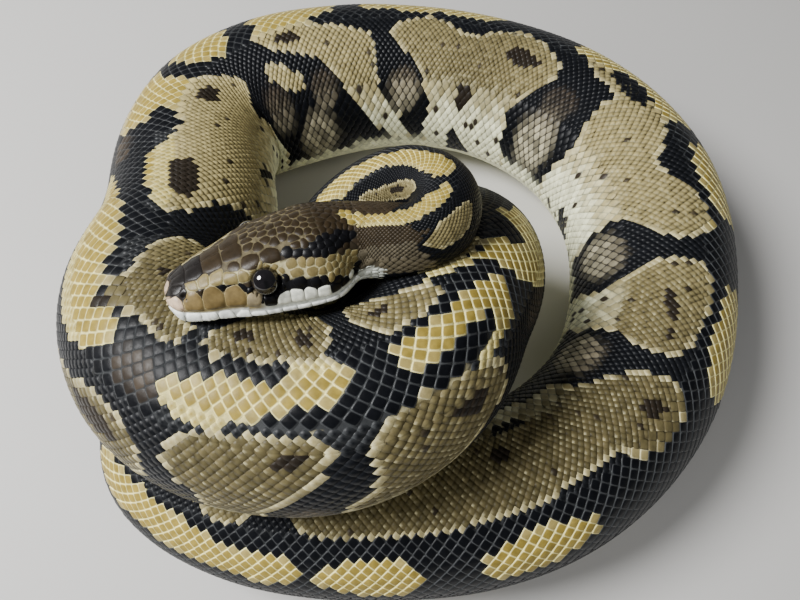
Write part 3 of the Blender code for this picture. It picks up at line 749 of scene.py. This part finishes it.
def layScales(gathered, shape, behind, turn, halfLong, halfTurn, dome, lift, middle, rim, tip):
    # scales with their roots at these places, each lying back along the body over the next
    rows, loops, sizes = shape
    x, y, share, up = rows.T
    at = np.clip(behind[:, None] + x * halfLong[:, None], *layable)
    degrees = turn[:, None] + y * halfTurn
    # the front end is tucked under the scale ahead, and the hind end stands up over the one behind
    height = np.where(up < 0, buried, up * dome[:, None] + (0.5 + 0.5 * x) * lift[:, None])
    tints = rim[:, None] + (middle - rim)[:, None] * share[:, None]
    # the hind tip takes the tip colour, which on tan scales is a painted glint
    tints = np.where((x > 0.8)[:, None], tip[:, None], tints)
    root = unwrapped(behind, wrapTurn(turn), stripOf(behind))
    flat = root[:, None] + patchHalf * rows[:, :2]
    gathered.add(overSkin(at, degrees, height), loops, sizes, tints, flat)


# where the small scales of the flank reach up over the back: behind from and to, turns from and to
fineParts = [(264, 330, 13, 28), (292, 329, -28, -16), (331, 376, -28, -9), (388, 432, -28, -5)]
# bands of scales: turns from and to, spacing of the rows in degrees, spacing along the thickest part,
# shape, height of the dome and lift of the hind end
coatBands = [
    ("back", -24.0, 24.0, 4.8, 3.55, bigScale, 0.2, 0.3),
    ("fine", -25.2, 25.2, 3.15, 2.3, smallScale, 0.17, 0.24),
    ("leftFlank", -80.4, -27.0, 3.15, 2.3, smallScale, 0.17, 0.24),
    ("rightFlank", 27.0, 80.4, 3.15, 2.3, smallScale, 0.17, 0.24),
    ("leftBelly", -146.0, -84.0, 4.8, 3.6, middleScale, 0.3, 0.2),
    ("rightBelly", 84.0, 146.0, 4.8, 3.6, middleScale, 0.3, 0.2),
]
coatStart, bellyStart, coatStop = 49.0, 57.5, length - 3
coatRow = {"halfLong": 0.545, "uneven": 0.08}  # shares of the spacing


def coatPlaces(spacing, offset):
    # how far behind the snout each scale of a row lies, closer together where the body is thin
    step = 0.5
    dense = np.arange(coatStart, coatStop, step)
    gone = np.cumsum(step / (spacing * scaleSize(dense)))
    return np.interp(np.arange(int(gone[-1]) - 1) + offset, gone, dense)


def makeCoat(name, start, end, material):
    gathered = Gathered()
    for number, (band, low, high, rowStep, spacing, shape, dome, lift) in enumerate(coatBands):
        first = max(start, bellyStart) if "Belly" in band else start
        for row in range(int(round((high - low) / rowStep)) + 1):
            # every second row is half a scale further back
            behind = coatPlaces(spacing, 0.5 * (row % 2) + 0.5)
            behind = behind[(behind >= first) & (behind < end)]
            seed = 1000 * number + 10 * row + int(start)
            turn = low + row * rowStep + (randomly(seed, len(behind)) - 0.5) * rowStep * coatRow["uneven"]
            if band in ("back", "fine"):
                fine = np.zeros(len(behind), bool)
                for front, back, left, right in fineParts:
                    fine |= (behind > front) & (behind < back) & (turn > left) & (turn < right)
                kept = fine if band == "fine" else ~fine
                behind, turn = behind[kept], turn[kept]
            if not len(behind):
                continue
            size = scaleSize(behind)
            half, grown = spacing * size * coatRow["halfLong"], np.sqrt(size)
            colours = bodyColours(behind, turn, seed)
            layScales(gathered, shape, behind, turn, half, rowStep, dome * grown, lift * grown, *colours)
    return gathered.piece(name, material)


scuteLook = {"spacing": 4.4, "halfLong": 2.6, "halfTurn": 33, "across": 12, "curve": 0.6, "middle": 0.86}


def makeScutes(name, material):
    # the broad plates across the belly
    bm = bmesh.new()
    bmesh.ops.create_grid(bm, x_segments=3, y_segments=scuteLook["across"], size=1)
    rows = np.array([vert.co.xy[:] for vert in bm.verts])
    loops, sizes = flatShape(bm, {vert: k for k, vert in enumerate(bm.verts)})
    gathered = Gathered()
    behind = coatPlaces(scuteLook["spacing"], 0.5)
    x, y = rows.T
    at = behind[:, None] + x * scuteLook["halfLong"] * scaleSize(behind)[:, None]
    at = np.clip(at - scuteLook["curve"] * y**2, *layable)
    degrees = np.broadcast_to(180 + y * scuteLook["halfTurn"], at.shape)
    # the hind edge and the two ends are turned down into the skin
    height = 0.03 + 0.16 * (0.5 + 0.5 * x) - 0.25 * (np.abs(y) > 0.99) - 0.2 * (x > 0.99)
    points = overSkin(at, degrees, height)
    points[..., 2] = np.maximum(points[..., 2], 0)
    middle, _, _ = bodyColours(behind, np.full(len(behind), 175.0), 77)
    look = scuteLook["middle"]
    tints = middle[:, None] * (look + (1 - look) * np.abs(x))[:, None]
    root = unwrapped(behind, np.full(len(behind), 178.0), stripOf(behind))
    gathered.add(points, loops, sizes, tints, root[:, None] + patchHalf * rows)
    return gathered.piece(name, material)


def makeSkin(name, material):
    # a grid rolled round the body, its seam merged and its two ends closed
    head = np.arange(0, headEnd, skinLook["headStep"])
    rowsAt = np.concatenate([head, np.arange(headEnd, length - 2, skinLook["bodyStep"]), [bodyEnd]])
    sides = skinLook["sides"]
    bm = bmesh.new()
    flatLayer = bm.loops.layers.uv.new("OFBake")
    tintLayer = bm.verts.layers.float_color.new("tint")
    bmesh.ops.create_grid(bm, x_segments=len(rowsAt) - 1, y_segments=sides, size=1)
    share = (np.array([vert.co.xy[:] for vert in bm.verts]) + 1) / 2
    behind = rowsAt[np.round(share[:, 0] * (len(rowsAt) - 1)).astype(int)]
    turn = -180 + 360 * np.round(share[:, 1] * sides) / sides
    points = onGrid(gridPoints, behind, turn) * mm
    body, edge, _ = bodyColours(behind, turn, 5)
    plate, plateRim = headColours(behind, turn, 6)
    tints = mixed(0.45 * body + 0.55 * edge, 0.4 * plate + 0.42 * plateRim, smoothStep(52, 47, behind))
    for vert, point, tint in zip(bm.verts, points, tints):
        vert.co = point
        vert[tintLayer] = (*tint, 1)
    corners = np.array([[vert.index for vert in face.verts] for face in bm.faces])
    strip = stripOf(behind[corners].mean(1))[:, None]
    flat = unwrapped(behind[corners], turn[corners], strip)
    for face, places in zip(bm.faces, flat):
        for loop, place in zip(face.loops, places):
            loop[flatLayer].uv = place
    bmesh.ops.remove_doubles(bm, verts=bm.verts[:], dist=1e-8)
    openEdges = [edge for edge in bm.edges if edge.is_boundary]
    ends = bmesh.ops.holes_fill(bm, edges=openEdges, sides=0)["faces"]
    for vert in bmesh.ops.poke(bm, faces=ends)["verts"]:
        atSnout = (vert.co - Vector(points[0])).length < 0.02
        vert[tintLayer] = (*(np.array(headLook["pink"]) * 0.5 if atSnout else tints[-1]), 1)
        for face in vert.link_faces:
            pair = [loop for loop in face.loops if loop.vert is not vert]
            places = []
            for loop in pair:
                near = [other for other in loop.vert.link_loops if other.face not in vert.link_faces]
                places.append(near[0][flatLayer].uv.copy())
            for loop, place in zip(pair, places):
                loop[flatLayer].uv = place
            middle = (places[0] + places[1]) / 2 + Vector((-0.006 if atSnout else 0.006, 0))
            next(loop for loop in face.loops if loop.vert is vert)[flatLayer].uv = middle
    bmesh.ops.recalc_face_normals(bm, faces=bm.faces[:])
    mesh = bpy.data.meshes.new(name)
    bm.to_mesh(mesh)
    bm.free()
    mesh.shade_smooth()
    print(name, len(mesh.vertices), "points")
    return linked(name, mesh, material)


# The head's markings as outlines on its left side; the right side mirrors them.
headMarks = {
    "stripe": [(5.6, -30), (9, -28), (13, -31), (17, -36), (20, -38), (24, -38), (28, -41), (32, -47),
        (36, -51), (40, -53), (45, -56), (48, -61), (50, -70), (49, -78), (46, -83), (42, -79), (40, -72),
        (34, -66), (29, -60), (27, -54), (24, -50), (21, -55), (18, -52), (13, -47), (9, -44), (5.6, -44)],
    "band": [(9, -46), (13, -48), (17, -52), (21, -56), (26, -56), (29, -60), (34, -66), (40, -73),
        (42, -80), (46, -86), (50, -82), (53, -84), (54, -90), (46, -90), (42, -87), (38, -84), (34, -80),
        (30, -77), (27, -75), (24, -84), (22, -78), (19, -62), (15, -57), (9, -54)],
    "overStripe": [(27, -36), (32, -40), (36, -45), (44, -51), (50, -56), (53, -42), (48, -33), (42, -30),
        (36, -32), (31, -33)],
    "snout": [(0.8, -8), (1.2, -40), (3, -56), (6, -56), (6, -44), (5.4, -30), (7, -18), (9, -10), (11, -4),
        (11, 2), (3, 2)],
}
headLook = {
    "crown": (0.026, 0.0175, 0.0085), "crownRim": (0.03, 0.021, 0.012), "network": (0.3, 0.25, 0.13),
    "stripe": (0.2, 0.157, 0.062), "stripeRim": (0.78, 0.72, 0.42), "black": (0.004, 0.004, 0.005),
    "lip": (0.95, 0.97, 0.84), "lipBrown": (0.17, 0.12, 0.045),
    "snout": (0.011, 0.009, 0.008), "jaw": (0.93, 0.96, 0.9), "pink": (0.62, 0.46, 0.32),
    "flank": (0.05, 0.04, 0.026), "variation": 0.12,
}


def headColours(behind, turn, seed):
    c = {key: np.array(value) for key, value in headLook.items()}
    count = len(behind)
    chance = randomly(seed, count)
    away = -np.abs(turn)
    lines = smoothStep(12, 18, behind) * smoothStep(42, 36, behind) * smoothStep(-42, -28, away)
    crownRim = mixed(c["crownRim"][None], c["network"], lines * (0.4 + 0.6 * chance))
    pair = np.tile(c["crown"], (count, 1)), crownRim
    pair = blended(pair, smoothStep(-50, -62, away), c["flank"], c["flank"] * 0.6)
    # the upper lip: white plates behind the eye, brown ones ahead of it, and pink at the tip
    lip = smoothStep(-57, -61, away + smoothStep(20, 26, behind) * 16) * smoothStep(48, 45, behind)
    front = smoothStep(23.2, 20, behind)
    lipMiddle = mixed(c["lip"][None], c["lipBrown"][None], front)
    lipMiddle = mixed(lipMiddle, c["pink"], smoothStep(5, 2.5, behind) * 0.9)
    lipRim = mixed(lipMiddle * 0.6, np.tile(c["network"] * 1.9, (count, 1)), front)
    pair = blended(pair, lip, lipMiddle, lipRim)

    def inside(name):
        return depthIn(headMarks[name], behind, away) > 0

    pair = laidOver(pair, inside("snout"), c["snout"], c["snout"] * 2.5)
    aroundEye = np.hypot((behind - 24.8) / 4.5, (away + 60) / 23) < 1
    pair = laidOver(pair, aroundEye | inside("band") | inside("overStripe"), c["black"], c["black"] * 2)
    isNape = (depthIn(marks["gold"]["nape"], behind, turn) > 0) & (behind > 43)
    pair = laidOver(pair, isNape, coatLook["gold"], coatLook["goldRim"])
    pair = laidOver(pair, inside("stripe"), c["stripe"], c["stripeRim"])
    isJaw = (away < -mouthTurn(behind) - 1) & ((behind < 44) | (away < -88))
    pair = laidOver(pair, isJaw, c["jaw"], c["jaw"] * 0.55)
    tip = smoothStep(1.6, 0.9, behind) * (away > -mouthTurn(behind))
    middle, rim = blended(pair, tip, c["pink"] * 0.8, c["pink"] * 0.5)
    share = (1 + headLook["variation"] * (2 * chance - 1))[:, None]
    return middle * share, rim * share


# The head's plates: distance behind the snout, degrees from the crown, and size in mm; each is on both sides.
plates = {
    "nasal": [(3.0, 27, 1.7), (4.9, 45, 1.5)],
    "internasal": [(4.4, 9, 1.8)],
    "prefrontal": [(8.6, 11, 2.3), (13.2, 10, 2.5)],
    "frontal": [(18.6, 9, 2.6)],
    "supraocular": [(22.3, 34, 2.1), (26.8, 34, 2.0)],
    "canthal": [(7.4, 37, 1.4), (10.2, 36, 1.5), (13.3, 39, 1.6), (16.6, 43.5, 1.6), (19.9, 47, 1.4)],
    "loreal": [(8.8, 51, 1.1), (11.2, 52, 1.1), (13.6, 54, 1.1), (16.0, 57, 1.1), (18.4, 60, 1.1)],
}
lipPlates = {
    "upper": [(2.4, 70, 2.0), (6.4, 68, 2.6), (11.2, 70, 2.8), (16.2, 72, 2.7), (20.6, 76, 1.9),
              (23.8, 79, 1.7), (27.0, 81, 1.6), (30.1, 82, 1.6), (33.2, 83, 1.5), (36.3, 84, 1.5),
              (39.4, 85, 1.4), (42.4, 86, 1.3)],
    "lower": [(1.8, 106, 2.0), (5.2, 106, 2.1), (9.0, 106, 2.2), (13.0, 106, 2.1), (16.8, 105, 2.0),
              (20.4, 104, 1.9), (24.0, 103, 1.8), (27.5, 102, 1.7), (31.0, 102, 1.6), (34.4, 101, 1.6),
              (37.8, 101, 1.5), (41.2, 100, 1.5)],
}
plateLook = {
    # a ring of small plates round each eye: how many, their distance from its middle, how far out, and size
    "eyeRing": (15, 4.25, 1.2, 0.9),
    # rows of plates fill the rest of the head: the first and the last row, their spacing on the crown, and
    # how much less it is at the nape
    "rows": (0.9, 58), "spacing": 2.5, "finer": 0.95,
    # plates over this size are big ones, with a smoother dome; half the gap between plates
    "big": 1.25, "gap": 0.045,
}


def nearestPlace(point):
    # on the head, the place of the skin that is nearest to a point
    distance = np.linalg.norm(gridPoints[:110] - point, axis=2)
    i, j = np.unravel_index(distance.argmin(), distance.shape)
    return gridBehind[i], gridTurns[j]


def headSeeds():
    # each plate's place behind the snout, degrees, size, and whether it's on the lips or jaw
    seeds = []
    for group in plates.values():
        for behind, degrees, size in group:
            seeds += [(behind, side * degrees, size, 0) for side in (-1, 1)]
    for row in lipPlates.values():
        for behind, degrees, size in row:
            seeds += [(behind, side * (degrees + mouthTurn(behind) - 90), size, 1) for side in (-1, 1)]
    eyes = []
    for side in (-1, 1):
        centre, outward, ahead, upward = eyeFrame(side)
        eyes.append(centre)
        count, reach, out, size = plateLook["eyeRing"]
        for turn in 2 * math.pi * np.arange(count) / count:
            place = centre + outward * out + reach * (ahead * math.cos(turn) + upward * math.sin(turn))
            seeds.append((*nearestPlace(place), size, 0))
    places = [onGrid(gridPoints, [seed[0]], [seed[1]])[0] for seed in seeds]
    random = np.random.default_rng(3)
    turns = np.arange(-180, 181, 5.0)
    row, (behind, last) = 0, plateLook["rows"]
    while behind < last:
        spacing = plateLook["spacing"] - plateLook["finer"] * float(smoothStep(26, 50, behind))
        ring = onGrid(gridPoints, np.full(len(turns), behind), turns)
        gone = np.r_[0, np.cumsum(np.linalg.norm(np.diff(ring, axis=0), axis=1))]
        count = max(6, int(gone[-1] / spacing))
        row += 1
        for k in range(count):
            degrees = np.interp((k + 0.5 * (row % 2)) / count * gone[-1], gone, turns)
            at = behind + random.uniform(-0.25, 0.25)
            degrees += random.uniform(-1.5, 1.5)
            # not over the lips, nor where the body's scales begin, nor too close to another plate or an eye
            mouth = mouthTurn(at)
            if mouth - 8 < abs(degrees) < mouth + 7 and at < 45 or at > 51.5 and abs(degrees) < 82:
                continue
            place = onGrid(gridPoints, [at], [degrees])[0]
            apart = np.linalg.norm(places - place, axis=1)
            sizes = np.array([seed[2] for seed in seeds])
            if (apart < np.where(sizes > plateLook["big"], sizes + 0.42 * spacing, 0)).any():
                continue
            if apart.min() < 0.8 * spacing or np.linalg.norm(eyes - place, axis=1).min() < 4.6:
                continue
            seeds.append((at, degrees, 0.46 * spacing, int(abs(degrees) > mouth)))
            places.append(place)
        behind += spacing * 0.87
    return seeds, np.array(places)


def clipped(polygon, normal, limit):
    # the part of a flat polygon on the near side of a line
    kept = []
    for k in range(len(polygon)):
        a, b = polygon[k - 1], polygon[k]
        da, db = a @ normal - limit, b @ normal - limit
        if (da < 0) != (db < 0):
            kept.append(a + (b - a) * da / (da - db))
        if db < 0:
            kept.append(b)
    return kept


def rounded(polygon, count):
    # evenly spaced points on the polygon with its corners cut
    points = np.array(polygon)
    for _ in range(2):
        after = np.roll(points, -1, 0)
        points = np.stack([0.88 * points + 0.12 * after, 0.12 * points + 0.88 * after], 1).reshape(-1, 2)
    closed = np.vstack([points, points[:1]])
    gone = np.r_[0, np.cumsum(np.linalg.norm(np.diff(closed, axis=0), axis=1))]
    places = np.linspace(0, gone[-1], count, endpoint=False)
    return np.stack([np.interp(places, gone, closed[:, k]) for k in range(2)], 1)


def clearOfMouth(turned, at, degrees, mouth):
    # a plate's points kept to its own side of the mouth's line
    if abs(degrees) < mouth:
        side = mouthTurn(at) - 2.5
        return np.clip(turned, -side, side)
    if abs(degrees) < 150:
        side = mouthTurn(at) + 2.5
        return np.where(turned > 0, np.maximum(turned, side), np.minimum(turned, -side))
    return turned


def makePlates(names, material):
    seeds, places = headSeeds()
    behind, degrees, size, onLip = np.array(seeds).T
    # how far a point on the skin moves for each mm back and for each degree round
    step = 0.3
    backward = onGrid(gridPoints, behind + step, degrees) - onGrid(gridPoints, behind - step, degrees)
    backward = backward / (2 * step)
    sideward = (onGrid(gridPoints, behind, degrees + 1) - onGrid(gridPoints, behind, degrees - 1)) / 2
    middle, rim = laidOver(headColours(behind, degrees, 11), behind > 49, *bodyColours(behind, degrees, 12)[:2])
    gathered = [Gathered(), Gathered()]
    # each ring of a plate: its reach, its share of the middle's colour, and its height on the dome
    smallRings = [(1.0, 0.0, -1.0), (0.97, 0.3, 0.6), (0.93, 1.0, 0.85)]
    bigRings = [(1.0, 0.0, -1.0), (0.98, 0.2, 0.6), (0.95, 1.0, 0.85), (0.58, 1.0, 0.95), (0.3, 1.0, 1.0)]
    shapes = [(n, rings, *scaleShape(n, rings, 2)[1:]) for n, rings in ((10, smallRings), (20, bigRings))]
    circle = 2 * math.pi * np.arange(12) / 12
    for k in range(len(seeds)):
        isBig = size[k] > plateLook["big"]
        corners, rings, loops, sizes = shapes[int(isBig)]
        perMm, perDegree = np.linalg.norm(backward[k]), np.linalg.norm(sideward[k])
        reach = 2.2 * size[k] if isBig else (1.2 if size[k] == plateLook["eyeRing"][3] else 1.75)
        # a round patch cut half way to each neighbour
        polygon = list(reach * np.stack([np.cos(circle), np.sin(circle)], 1))
        offset = places - places[k]
        distance = np.linalg.norm(offset, axis=1)
        for n in np.flatnonzero((distance < 9) & (distance > 1e-6)):
            normal = unit(np.array([offset[n] @ unit(backward[k]), offset[n] @ unit(sideward[k])]))
            limit = distance[n] / 2 + (size[k] ** 2 - size[n] ** 2) / (2 * distance[n])
            polygon = clipped(polygon, normal, max(limit, 0.2) - plateLook["gap"])
            if len(polygon) < 3:
                break
        if len(polygon) < 3:
            continue
        outline = rounded(polygon, corners)
        centre = outline.mean(0)
        flat = np.concatenate([centre + (outline - centre) * ring[0] for ring in rings] + [centre[None]])
        at = np.clip(behind[k] + flat[:, 0] / max(perMm, 0.35), 0.02, 64)
        turned = degrees[k] + flat[:, 1] / max(perDegree, 0.02)
        if onLip[k] or abs(degrees[k]) > 70:
            turned = clearOfMouth(turned, at, degrees[k], mouthTurn(behind[k]))
        share, up = (np.r_[np.repeat([ring[n] for ring in rings], corners), 1] for n in (1, 2))
        dome = 0.2 if onLip[k] or abs(degrees[k]) > 64 else 0.1
        height = np.where(up < 0, buried, up * dome + 0.05 * np.clip(flat[:, 0] / reach, -1, 1))
        points = overSkin(at, turned, height)
        tints = rim[k] + (middle[k] - rim[k]) * share[:, None]
        patch = unwrapped(behind[k], wrapTurn(degrees[k]), 0) + patchHalf * flat / reach
        gathered[int(onLip[k])].add(points[None], loops, sizes, tints[None], patch[None])
    return [group.piece(name, material) for group, name in zip(gathered, names)]


eyeLook = {
    "radius": 3.4, "slit": (0.55, 1.7),
    "iris": (0.006, 0.005, 0.006), "pupil": (0.001, 0.001, 0.001),
}


def makeEye(name, side, material):
    centre, outward, ahead, upward = eyeFrame(side)
    bm = bmesh.new()
    place = Matrix.Translation(Vector(centre * mm))
    bmesh.ops.create_icosphere(bm, subdivisions=4, radius=eyeLook["radius"] * mm, matrix=place)
    mesh = bpy.data.meshes.new(name)
    bm.to_mesh(mesh)
    bm.free()
    mesh.shade_smooth()
    points = np.array([v.co[:] for v in mesh.vertices]) / mm - centre
    # a narrow upright pupil in the middle of the outer side
    long, high = points @ ahead, points @ upward
    facing = (points @ outward) > 0
    slit = np.hypot(long / eyeLook["slit"][0], high / eyeLook["slit"][1])
    share = np.where(facing, smoothStep(0.8, 1.15, slit), 1)
    tints = mixed(np.array([eyeLook["pupil"]]), np.array(eyeLook["iris"]), share)
    # the outer half of the eyeball unwraps on the left and the inner half on the right
    u = np.where(facing, 0.25, 0.75) + 0.23 * long / eyeLook["radius"]
    v = 0.5 + 0.46 * high / eyeLook["radius"]
    vertexOf = np.empty(len(mesh.loops), int)
    mesh.loops.foreach_get("vertex_index", vertexOf)
    paint(mesh, tints, np.stack([u, v], 1)[vertexOf])
    print(name, len(points), "points")
    return linked(name, mesh, material)


def tintedMaterial(name, look):
    # the piece's own colours, broken up by fine noise, with grain in its roughness and surface
    material = bpy.data.materials.new(name)
    material.use_nodes = True
    nodes, links = material.node_tree.nodes, material.node_tree.links
    shader = nodes["Principled BSDF"]

    def add(kind, **values):
        node = nodes.new(kind)
        for key, value in values.items():
            setattr(node, key, value)
        return node

    def withInputs(node, **values):
        # the node with these inputs set, an underscore standing for a space
        for key, value in values.items():
            node.inputs[key.replace("_", " ")].default_value = value
        return node

    place = add("ShaderNodeTexCoord").outputs["Object"]
    tint = add("ShaderNodeAttribute", attribute_name="tint").outputs["Color"]

    def noise(scale, detail=3):
        node = withInputs(add("ShaderNodeTexNoise"), Scale=scale, Detail=detail)
        links.new(place, node.inputs["Vector"])
        return node.outputs["Fac"]

    def ranged(value, low, high):
        # the noise's middle part, spread from low to high
        node = withInputs(add("ShaderNodeMapRange"), From_Min=0.3, From_Max=0.7, To_Min=low, To_Max=high)
        links.new(value, node.inputs["Value"])
        return node.outputs["Result"]

    shade = withInputs(add("ShaderNodeMix", data_type="RGBA", blend_type="MULTIPLY"), Factor=1)
    links.new(tint, shade.inputs["A"])
    brightness = add("ShaderNodeCombineColor")
    value = ranged(noise(look["mottle"], 4), 1 - look["uneven"], 1 + look["uneven"])
    for channel in ("Red", "Green", "Blue"):
        links.new(value, brightness.inputs[channel])
    links.new(brightness.outputs["Color"], shade.inputs["B"])
    links.new(shade.outputs["Result"], shader.inputs["Base Color"])
    rough = ranged(noise(look["grain"] * 0.4), look["roughness"] - 0.06, look["roughness"] + 0.08)
    links.new(rough, shader.inputs["Roughness"])
    bump = withInputs(add("ShaderNodeBump"), Strength=look["bump"], Distance=look["bumpDeep"])
    links.new(noise(look["grain"], 5), bump.inputs["Height"])
    links.new(bump.outputs["Normal"], shader.inputs["Normal"])
    withInputs(shader, Specular_IOR_Level=look["gloss"], Coat_Weight=look["coat"])
    withInputs(shader, Coat_Roughness=look["coatRoughness"])
    return material


# size of the mottling and of the grain (larger is finer), how uneven the colour is, and the surface
finishes = {
    "scales": {"mottle": 420, "uneven": 0.22, "grain": 5200, "roughness": 0.38, "bump": 0.25,
               "bumpDeep": 0.00012, "gloss": 0.15, "coat": 0.0, "coatRoughness": 0.3},
    "skin": {"mottle": 600, "uneven": 0.2, "grain": 3600, "roughness": 0.55, "bump": 0.4,
             "bumpDeep": 0.0002, "gloss": 0.25, "coat": 0.0, "coatRoughness": 0.3},
    "plates": {"mottle": 700, "uneven": 0.24, "grain": 6000, "roughness": 0.36, "bump": 0.2,
               "bumpDeep": 0.0001, "gloss": 0.25, "coat": 0.0, "coatRoughness": 0.25},
    "eyes": {"mottle": 900, "uneven": 0.3, "grain": 2500, "roughness": 0.1, "bump": 0.03,
             "bumpDeep": 0.00005, "gloss": 0.7, "coat": 1.0, "coatRoughness": 0.03},
}
materials = {name: tintedMaterial(name, look) for name, look in finishes.items()}
print("materials", *materials)

skin = makeSkin("skin", materials["skin"])
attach(skin, "root")
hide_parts(*fleshNodes)

# the scales are split along the body, to keep each piece light enough
coatEnds = [50, 145, 240, 340, 445, 550, 655, 760, 880, 1000, length]
for number, (start, end) in enumerate(zip(coatEnds, coatEnds[1:])):
    coat = makeCoat(f"scales_{number + 1}", start, end, materials["scales"])
    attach(coat, "root")

scutes = makeScutes("belly_scutes", materials["scales"])
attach(scutes, "root")

headPieces = makePlates(("head_plates", "lip_plates"), materials["plates"])
for piece, slot in zip(headPieces, ("head_skin", "lip_skin")):
    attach(piece, "root")

for side, label in ((-1, "left"), (1, "right")):
    eye = makeEye(f"eyeball_{label}", side, materials["eyes"])
    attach(eye, "root")
    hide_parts(f"eye_{label}")

floorLook = {"size": 3.0, "colour": (0.55, 0.54, 0.52), "roughness": 0.6}
bpy.ops.mesh.primitive_plane_add(size=floorLook["size"], location=(0, 0, 0))
floor = bpy.context.object
floor.name = "floor"
floorMaterial = bpy.data.materials.new("floor")
floorMaterial.use_nodes = True
floorShader = floorMaterial.node_tree.nodes["Principled BSDF"]
floorShader.inputs["Base Color"].default_value = (*floorLook["colour"], 1)
floorShader.inputs["Roughness"].default_value = floorLook["roughness"]
floor.data.materials.append(floorMaterial)
print("floor", floorLook["size"])

# each lamp's place, size and power; it points at the middle of the floor
lights = {
    "key": ((-0.6, 0.0, 0.75), 0.42, 17.0),
    "fill": ((0.4, -0.5, 0.8), 0.9, 1.5),
    "front": ((-0.45, -0.7, 0.4), 0.8, 3.2),
}
for name, (place, size, power) in lights.items():
    lamp = bpy.data.lights.new(name, "AREA")
    lamp.shape, lamp.size, lamp.energy = "DISK", size, power
    holder = bpy.data.objects.new(name, lamp)
    holder.location = place
    holder.visible_glossy = name == "key"  # the others don't show in the gloss
    holder.rotation_euler = (-Vector(place)).to_track_quat("-Z", "Y").to_euler()
    bpy.context.scene.collection.objects.link(holder)
worldLook = {"colour": (0.75, 0.78, 0.82), "strength": 0.12}
world = bpy.data.worlds.new("studio")
world.use_nodes = True
background = world.node_tree.nodes["Background"]
background.inputs["Color"].default_value = (*worldLook["colour"], 1)
background.inputs["Strength"].default_value = worldLook["strength"]
bpy.context.scene.world = world
print("lights", *lights)

view = {"lens": 28.8, "elevation": 64.0, "distance": 0.22588, "target": (-0.00707, -0.0193, 0.028)}
camera = bpy.data.objects.new("camera", bpy.data.cameras.new("camera"))
camera.data.lens = view["lens"]
camera.data.clip_start = 0.01
tilt = math.radians(view["elevation"])
camera.location = Vector(view["target"]) + view["distance"] * Vector((0, -math.cos(tilt), math.sin(tilt)))
camera.rotation_euler = (math.pi / 2 - tilt, 0, 0)
bpy.context.scene.collection.objects.link(camera)
bpy.context.scene.camera = camera
print("camera", tuple(round(value, 4) for value in camera.location))
